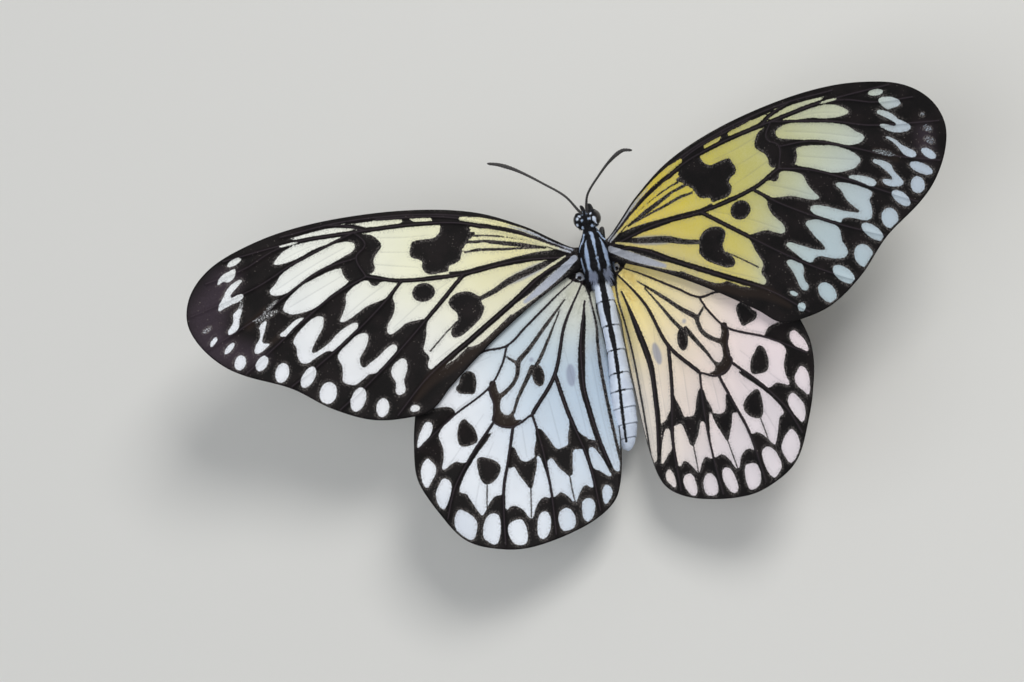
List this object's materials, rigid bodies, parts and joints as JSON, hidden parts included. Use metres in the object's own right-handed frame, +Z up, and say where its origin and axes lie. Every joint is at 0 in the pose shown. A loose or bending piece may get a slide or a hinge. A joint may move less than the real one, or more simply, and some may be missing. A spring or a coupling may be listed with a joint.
{
  "type": "paper kite butterfly",
  "caption": "Life-size still model of a paper kite butterfly, standing with wings spread in a shallow V, veins raised on each wing.",
  "frame": {"origin": "on the floor, under the middle of the whole box", "axes": "+X towards the butterfly's right wing tip, +Y the way it faces, +Z up"},
  "size_m": [0.129, 0.0638, 0.0324],
  "materials": {
    "wing": "scaled wing membrane, cream white with black markings, soft satin",
    "cuticle": "black scaled cuticle with white dots and stripes",
    "abdomen": "pale bluish scaled cuticle with a black back line",
    "eye": "glossy dark compound eye",
    "antenna": "dark brown satin cuticle",
    "leg": "dark cuticle with paler scales"
  },
  "bodies": {
    "root": {"head": "cuticle", "thorax": "cuticle", "abdomen": "abdomen", "eye_left": "eye", "eye_right": "eye", "antenna_left": "antenna", "antenna_right": "antenna", "palp_left": "cuticle", "palp_right": "cuticle", "proboscis": "antenna", "forewing_left": "wing", "forewing_right": "wing", "hindwing_left": "wing", "hindwing_right": "wing", "foreleg_left": "leg", "foreleg_right": "leg", "midleg_left": "leg", "midleg_right": "leg", "hindleg_left": "leg", "hindleg_right": "leg"}
  },
  "joints": []
}
